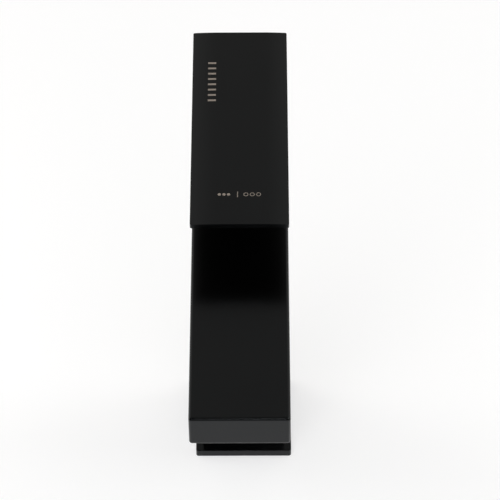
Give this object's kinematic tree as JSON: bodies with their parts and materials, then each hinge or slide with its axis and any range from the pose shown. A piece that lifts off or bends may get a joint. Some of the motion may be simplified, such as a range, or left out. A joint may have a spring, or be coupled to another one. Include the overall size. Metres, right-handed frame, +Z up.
{
  "type": "single-lever basin mixer tap",
  "caption": "Tall deck-mounted single-lever basin mixer: square column on a square flange, flat box spout, plate lever above it, satin black.",
  "frame": {"origin": "centre of the foot on the deck plane, on the column's axis", "axes": "+Z up along the column, -Y towards the user along the spout and the lever, +X to the user's right (cold side)"},
  "size_m": [0.0526, 0.2145, 0.2809],
  "materials": {
    "black_coat": "satin",
    "brass": "satin",
    "copper": "satin",
    "steel": "satin",
    "rubber": "matte",
    "white_plastic": "matte",
    "black_plastic": "matte",
    "ceramic": "polished"
  },
  "bodies": {
    "body": {"aerator_housing": "black_plastic", "aerator_insert": "black_plastic", "aerator_mesh": "black_plastic", "aerator_seal": "rubber", "base_flange": "black_coat", "base_gasket": "rubber", "base_insert": "brass", "body_casting": "black_coat", "cartridge_base": "white_plastic", "cartridge_nut": "brass", "cartridge_shell": "white_plastic", "cartridge_shell_seal": "rubber", "dome_trim": "black_coat", "fixed_ceramic_disc": "ceramic", "flange_screw_1": "steel", "flange_screw_2": "steel", "flange_screw_3": "steel", "flange_screw_4": "steel", "inlet_pipe_cold": "copper", "inlet_pipe_hot": "copper", "pipe_seal_cold": "rubber", "pipe_seal_hot": "rubber", "port_seal_cold": "rubber", "port_seal_hot": "rubber", "valve_seat": "brass", "valve_seat_seal": "rubber", "water_way_gasket_front": "rubber", "water_way_gasket_rear": "rubber", "water_way_tube": "white_plastic"},
    "rotor": {"cartridge_rotor": "white_plastic", "spindle_pin": "steel"},
    "disc_pack": {"disc_carrier": "white_plastic", "moving_ceramic_disc": "ceramic"},
    "lever": {"lever_plate": "black_coat", "lever_hub": "black_coat", "spindle": "steel", "lever_grub_screw": "steel", "index_plug": "black_plastic", "lever_plate_screw_1": "steel", "lever_plate_screw_2": "steel"}
  },
  "joints": [
    {"name": "lever_swivel", "type": "hinge", "parent": "body", "child": "rotor", "pos_m": [0, 0, 0.2498], "axis": [0, 0, 1], "range_deg": [-45, 45]},
    {"name": "lever_lift", "type": "hinge", "parent": "rotor", "child": "lever", "pos_m": [0, 0, 0.2498], "axis": [-1, 0, 0], "range_deg": [0, 22]},
    {"name": "disc_slide", "type": "slide", "parent": "rotor", "child": "disc_pack", "axis": [0, -1, 0], "range_m": [0, 0.0052]}
  ],
  "couplings": [
    {"joint": "disc_slide", "follows": "lever_lift", "m_per_rad": 0.0135}
  ]
}
